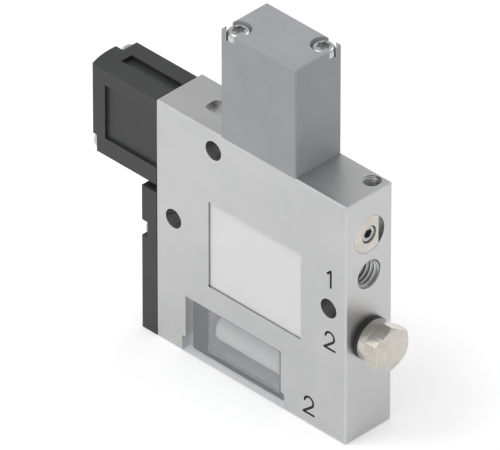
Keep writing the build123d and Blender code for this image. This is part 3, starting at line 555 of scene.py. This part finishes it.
def cut(target, cutters, angle, lining=None):
    """Cuts shapes out of an object, and gives the new walls the object's finish or their own."""
    target.modifiers.clear()
    for cutter in cutters:
        mesh = bpy.data.meshes.new("cutter")
        cutter.to_mesh(mesh)
        cutter.free()
        mesh.materials.append(lining or target.data.materials[0])
        tool = bpy.data.objects.new("cutter", mesh)
        bpy.context.scene.collection.objects.link(tool)
        knife = target.modifiers.new("cut", "BOOLEAN")
        knife.operation = "DIFFERENCE"
        knife.solver = "EXACT"
        knife.use_self = True
        knife.material_mode = "TRANSFER"
        knife.object = tool
        bpy.context.view_layer.update()
        seen = target.evaluated_get(bpy.context.evaluated_depsgraph_get())
        result = bpy.data.meshes.new_from_object(seen)
        old = target.data
        target.modifiers.clear()
        target.data = result
        bpy.data.meshes.remove(old)
        bpy.data.objects.remove(tool)
        bpy.data.meshes.remove(mesh)
    shape = bmesh.new()
    shape.from_mesh(target.data)
    bmesh.ops.dissolve_degenerate(shape, dist=0.0005 * MM, edges=shape.edges)
    bmesh.ops.dissolve_limit(
        shape,
        angle_limit=radians(0.3),
        verts=shape.verts,
        edges=shape.edges,
        delimit={"MATERIAL"},
    )
    shape.to_mesh(target.data)
    shape.free()
    polish(target, angle)


def toward(axis, place):
    """Moves a shape made along +Z so that it points along an axis, at a place in millimetres."""
    turn = Vector((0, 0, 1)).rotation_difference(Vector(axis)).to_matrix().to_4x4()
    return Matrix.Translation(Vector(place) * MM) @ turn


def rod(radius, low, high, axis, place, segments=48):
    """A closed cylinder between two heights along an axis, in millimetres."""
    shape = bmesh.new()
    bmesh.ops.create_cone(
        shape,
        cap_ends=True,
        segments=segments,
        radius1=radius * MM,
        radius2=radius * MM,
        depth=(high - low) * MM,
        matrix=toward(axis, place) @ Matrix.Translation((0, 0, (low + high) / 2 * MM)),
    )
    return shape


def inner_thread(name, place, axis, core, major, pitch, length):
    """A threaded wall in a hole: V grooves that climb one pitch in each turn."""
    shape = bmesh.new()
    outline = []
    # Along one pitch: a flat crest, a slope to the root, a flat root and a slope back
    corners = ((0.0, core), (0.12, core), (0.5, major), (0.62, major))
    for turn in range(-1, int(length / pitch) + 2):
        foot = -turn * pitch * MM
        for share, radius in corners:
            outline.append(shape.verts.new((radius * MM, 0, foot - share * pitch * MM)))
    lines = [shape.edges.new(pair) for pair in zip(outline, outline[1:])]
    steps = 56
    bmesh.ops.spin(
        shape,
        geom=outline + lines,
        cent=(0, 0, 0),
        axis=(0, 0, 1),
        dvec=(0, 0, -pitch * MM / steps),
        angle=2 * pi,
        steps=steps,
        use_merge=False,
    )
    bmesh.ops.remove_doubles(shape, verts=shape.verts, dist=0.003 * MM)
    ends = ((-thread_start * MM, (0, 0, 1)), (-length * MM, (0, 0, -1)))
    for height, normal in ends:
        bmesh.ops.bisect_plane(
            shape,
            geom=shape.verts[:] + shape.edges[:] + shape.faces[:],
            plane_co=(0, 0, height),
            plane_no=normal,
            clear_outer=True,
        )
    for face in shape.faces:
        middle = face.calc_center_median()
        if face.normal.dot(Vector((middle.x, middle.y, 0))) > 0:
            face.normal_flip()
    bmesh.ops.solidify(shape, geom=shape.faces[:], thickness=thread_wall * MM)
    bmesh.ops.transform(shape, matrix=toward(axis, place), verts=shape.verts)
    piece(name, shape, "anodised_block", angle=thread_sharp)


# The port numbers and their places on the front face, in millimetres
port_numbers = (("1", 17.15, 29.65), ("2", 17.09, 18.05), ("2", 12.63, 3.56))

groove_width = 0.44
groove_depth = 0.15
groove_height = 0.45

# The strokes of the digits, from the middle of a digit 3 mm high, in millimetres
straight_strokes = {
    "1": [((0.15, 1.50), (0.15, -1.50)), ((0.15, 1.50), (-0.52, 0.86))],
    "2": [((-1.12, -1.56), (1.12, -1.56))],
}
curl_centre = (0.06, 0.63)
curl_radius = 0.93
curl_start = 175
curl_end = -50
curl_foot = (-1.12, -1.56)


def groove(shape, foot, run):
    """Adds a straight round-ended groove to a cutter, from a foot along a run."""
    ring = bmesh.ops.create_circle(
        shape,
        cap_ends=True,
        segments=24,
        radius=groove_width / 2 * MM,
        matrix=Matrix.Translation(foot * MM) @ Matrix.Rotation(pi / 2, 4, "X"),
    )["verts"]
    ahead = [v for v in ring if (v.co - foot * MM).dot(run) > 0]
    bmesh.ops.translate(shape, verts=ahead, vec=run * MM)
    raised = bmesh.ops.extrude_face_region(shape, geom=ring[0].link_faces[:])
    upper = [v for v in raised["geom"] if isinstance(v, bmesh.types.BMVert)]
    bmesh.ops.translate(shape, verts=upper, vec=(0, -groove_height * MM, 0))


def curl(shape, floor):
    """Adds the round top and the slant of a 2 to a cutter, and the round end of its tip."""
    centre = floor + Vector((curl_centre[0], 0, curl_centre[1]))
    tip, heel = (
        centre + curl_radius * Vector((cos(radians(angle)), 0, sin(radians(angle))))
        for angle in (curl_start, curl_end)
    )
    section = bmesh.ops.create_grid(
        shape,
        x_segments=1,
        y_segments=1,
        size=0.5,
        matrix=Matrix.Translation((tip + Vector((0, -groove_height / 2, 0))) * MM)
        @ Matrix.Rotation(-radians(curl_start), 4, "Y")
        @ Matrix.Diagonal((groove_width * MM, groove_height * MM, 1, 1)),
    )["verts"]
    swept = bmesh.ops.spin(
        shape,
        geom=section[0].link_faces[:],
        cent=centre * MM,
        axis=(0, 1, 0),
        angle=radians(curl_start - curl_end),
        steps=20,
        use_merge=False,
    )
    last = [f for f in swept["geom_last"] if isinstance(f, bmesh.types.BMFace)]
    raised = bmesh.ops.extrude_face_region(shape, geom=last)
    bmesh.ops.delete(shape, geom=last, context="FACES_ONLY")
    ahead = [v for v in raised["geom"] if isinstance(v, bmesh.types.BMVert)]
    slant = floor + Vector((curl_foot[0], 0, curl_foot[1])) - heel
    bmesh.ops.translate(shape, verts=ahead, vec=slant * MM)
    groove(shape, tip, Vector((0, 0, 0)))


def digit(text, centre_x, centre_z):
    """The cutter for the grooves of a plain digit."""
    shape = bmesh.new()
    floor = Vector((centre_x, body_front + groove_depth, centre_z))
    for (across, up), (next_across, next_up) in straight_strokes[text]:
        run = Vector((next_across - across, 0, next_up - up))
        groove(shape, floor + Vector((across, 0, up)), run)
    if text == "2":
        curl(shape, floor)
    bmesh.ops.recalc_face_normals(shape, faces=shape.faces)
    return shape


def block():
    """The anodised block: threads in its open ports, and its engraved and inked port numbers."""
    shape = joined_copy("body")
    made = piece("block_body", shape, "anodised_block", stands_for=["body"])
    holes = [
        rod(port_bore, -port_thread["length"], cut_above, (1, 0, 0), supply_port),
        rod(port_bore, -port_thread["length"], cut_above, (0, 0, -1), base_port),
        rod(small_bore, -small_thread["length"], cut_above, (0, 0, 1), top_thread),
    ]
    cut(made, holes, block_sharp)
    cut(made, [digit(*number) for number in port_numbers], block_sharp, ink)
    inner_thread("supply_port_thread", supply_port, (1, 0, 0), **port_thread)
    inner_thread("base_port_thread", base_port, (0, 0, -1), **port_thread)
    inner_thread("top_hole_thread", top_thread, (0, 0, 1), **small_thread)


def star_key(size, depth):
    """The cutter for a six-lobe key recess, from its mouth at 0 down along -Z."""
    shape = bmesh.new()
    bmesh.ops.create_circle(shape, cap_ends=True, segments=72, radius=1.0)
    mean_radius, lobe_rise = 0.435, 0.065
    for v in shape.verts:
        lobes = cos(6 * v.co.xy.angle_signed(Vector((1, 0))))
        v.co *= (mean_radius + lobe_rise * lobes) * size * MM
    floor = bmesh.ops.extrude_face_region(shape, geom=shape.faces[:])
    sunk = [v for v in floor["geom"] if isinstance(v, bmesh.types.BMVert)]
    bmesh.ops.translate(shape, verts=sunk, vec=(0, 0, -depth * MM))
    taper = 0.92
    bmesh.ops.scale(shape, verts=sunk, vec=(taper, taper, 1))
    upper = [v for v in shape.verts if v not in sunk]
    clear_of_head = 0.3
    bmesh.ops.translate(shape, verts=upper, vec=(0, 0, clear_of_head * MM))
    bmesh.ops.recalc_face_normals(shape, faces=shape.faces)
    return shape


def star_screw(node, place, axis, head, height, key, shank, reach):
    """A screw with a domed head and a six-lobe recess; its place is the seat of the head."""
    shape = bmesh.new()
    flat = head * 0.70
    rim = 0.08
    # Radius and height of each corner, from the tip up the shank, under the head and over its dome
    outline = [
        (0, -reach),
        (shank - 0.15, -reach),
        (shank, -reach + 0.2),
        (shank, 0),
        (head - rim, 0),
        (head, rim),
        (head, height * 0.55),
        (head - 0.06, height * 0.72),
        (head - 0.24 * (head - flat) - 0.1, height * 0.88),
        (flat, height),
        (0, height),
    ]
    line = [shape.verts.new((r * MM, 0, h * MM)) for r, h in outline]
    for pair in zip(line, line[1:]):
        shape.edges.new(pair)
    bmesh.ops.spin(
        shape,
        geom=shape.verts[:] + shape.edges[:],
        cent=(0, 0, 0),
        axis=(0, 0, 1),
        angle=2 * pi,
        steps=48,
        use_merge=True,
    )
    bmesh.ops.remove_doubles(shape, verts=shape.verts, dist=0.001 * MM)
    bmesh.ops.recalc_face_normals(shape, faces=shape.faces)
    recess = star_key(key, depth=height * 0.62)
    bmesh.ops.translate(recess, verts=recess.verts, vec=(0, 0, height * MM))
    bmesh.ops.transform(shape, matrix=toward(axis, place), verts=shape.verts)
    bmesh.ops.transform(recess, matrix=toward(axis, place), verts=recess.verts)
    made = piece(f"{node}_star", shape, "zinc_screw", stands_for=[node])
    cut(made, [recess], screw_sharp)


def coil_spring(node, start, length, width, wire, turns, joint, pressed):
    """A coil of round wire along +X with closed ends."""
    shape = bmesh.new()
    radius = (width - wire) / 2
    climb = length - 2 * wire
    sides, steps_a_turn = 12, 36
    start_of_wire = Matrix.Translation((wire / 2 * MM, 0, radius * MM))
    bmesh.ops.create_circle(
        shape,
        segments=sides,
        radius=wire / 2 * MM,
        matrix=start_of_wire @ Matrix.Rotation(pi / 2, 4, "X"),
    )
    closed_end = (0.9, wire * 0.9)
    stretches = (closed_end, (turns, climb - wire * 0.8), closed_end)
    ring = shape.edges[:] + shape.verts[:]
    for count, rise in stretches:
        steps = round(count * steps_a_turn)
        swept = bmesh.ops.spin(
            shape,
            geom=ring,
            cent=(0, 0, 0),
            axis=(1, 0, 0),
            dvec=(rise * MM / steps, 0, 0),
            angle=2 * pi * count,
            steps=steps,
            use_merge=False,
        )
        ring = swept["geom_last"]
    bmesh.ops.holes_fill(shape, edges=shape.edges[:], sides=sides)
    bmesh.ops.recalc_face_normals(shape, faces=shape.faces)
    bmesh.ops.translate(shape, verts=shape.verts, vec=Vector(start) * MM)
    coil = piece(f"{node}_coil", shape, "spring_steel", stands_for=[node])
    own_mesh(coil)


def casing(node, slot, width):
    """An outer piece with its edges broken or rounded as the real one's are."""
    shape = joined_copy(node)
    soften(shape, width)
    finish = finishes["insert_nickel" if node == "regulating_insert" else slot]
    piece(f"{node}_moulding", shape, slot, body_of[node], [node], finish)


block()
for node, place in silencer_screws.items():
    star_screw(node, place, (0, 0, 1), **silencer_screw)
for node, place in valve_screws.items():
    star_screw(node, place, (-1, 0, 0), **valve_screw)
for node, place in cover_screws.items():
    star_screw(node, place, (-1, 0, 0), **cover_screw)
for node, spring in springs.items():
    coil_spring(node, **spring)
for node, (slot, width) in casings.items():
    casing(node, slot, width)


# Floor, a hair below the block's base, and light
floor_drop = 0.03
floor_shape = bmesh.new()
bmesh.ops.create_grid(floor_shape, x_segments=1, y_segments=1, size=3.0)
bmesh.ops.translate(floor_shape, verts=floor_shape.verts, vec=(0, 0, -floor_drop * MM))
floor_mesh = bpy.data.meshes.new("floor")
floor_shape.to_mesh(floor_mesh)
floor_shape.free()
floor = bpy.data.objects.new("floor", floor_mesh)
bpy.context.scene.collection.objects.link(floor)
paper = Finish(
    "floor_paper", {"Specular IOR Level": 0.1, "Roughness": 0.9, "Emission Strength": 0.2}
)
paper.feed("Base Color", paper.mix(paper.noise(60, detail=2), shade(0.88), shade(0.90)))
paper.feed("Emission Color", paper.mix(paper.background_rays(), shade(0), shade(1)))
floor_mesh.materials.append(paper.material)


def softbox(name, place, target, width, height, watts):
    """A soft rectangular lamp that faces a target, in metres."""
    lamp = bpy.data.lights.new(name, "AREA")
    lamp.shape = "RECTANGLE"
    lamp.size = width
    lamp.size_y = height
    lamp.energy = watts
    stand = bpy.data.objects.new(name, lamp)
    stand.location = place
    stand.rotation_euler = (Vector(target) - Vector(place)).to_track_quat("-Z", "Y").to_euler()
    bpy.context.scene.collection.objects.link(stand)


middle = (0.0, 0.0, 0.03)
softbox("key_lamp", (-0.28, -0.34, 0.85), middle, width=0.45, height=0.45, watts=2.8)
softbox("fill_lamp", (0.10, -0.80, 0.28), middle, width=0.35, height=0.50, watts=0.8)
softbox("back_lamp", (0.10, 0.60, 0.60), middle, width=0.50, height=0.30, watts=1.2)

world = bpy.data.worlds.new("studio")
bpy.context.scene.world = world
world.use_nodes = True
sky = NodeTree(world.node_tree, "Background", {"Strength": 1.0})
direction = sky.node("ShaderNodeTexCoord", {}, {}, "Generated")
upward = sky.range(sky.node("ShaderNodeSeparateXYZ", {}, {0: direction}, "Z"), 0.0, 0.8)
light = sky.mix(upward, shade(0.28), shade(0.80))
wall = sky.mix(upward, shade(0.96), shade(0.62))
sky.feed("Color", sky.mix(sky.background_rays(), light, wall))

# Camera: the drawing's isometric view, from far away through a long lens
right_way = Vector((0.70711, 0.70711, 0.0))
up_way = Vector((-0.40825, 0.40825, 0.8165))
back_way = Vector((0.57735, -0.57735, 0.57735))
near_corner = Vector((body_right, body_front, body_top))
aim_left, aim_down, aim_deep = 14.67, 2.507, 25.0
aim = near_corner - aim_left * right_way - aim_down * up_way - aim_deep * back_way
camera_distance = 2.136
camera_data = bpy.data.cameras.new("camera")
camera_data.lens = 1000
camera_data.sensor_width = 36
camera = bpy.data.objects.new("camera", camera_data)
bpy.context.scene.collection.objects.link(camera)
turn = Matrix((right_way, up_way, back_way)).transposed().to_4x4()
camera.matrix_world = Matrix.Translation(aim * MM + back_way * camera_distance) @ turn
bpy.context.scene.camera = camera
bpy.context.scene.view_settings.view_transform = "Standard"
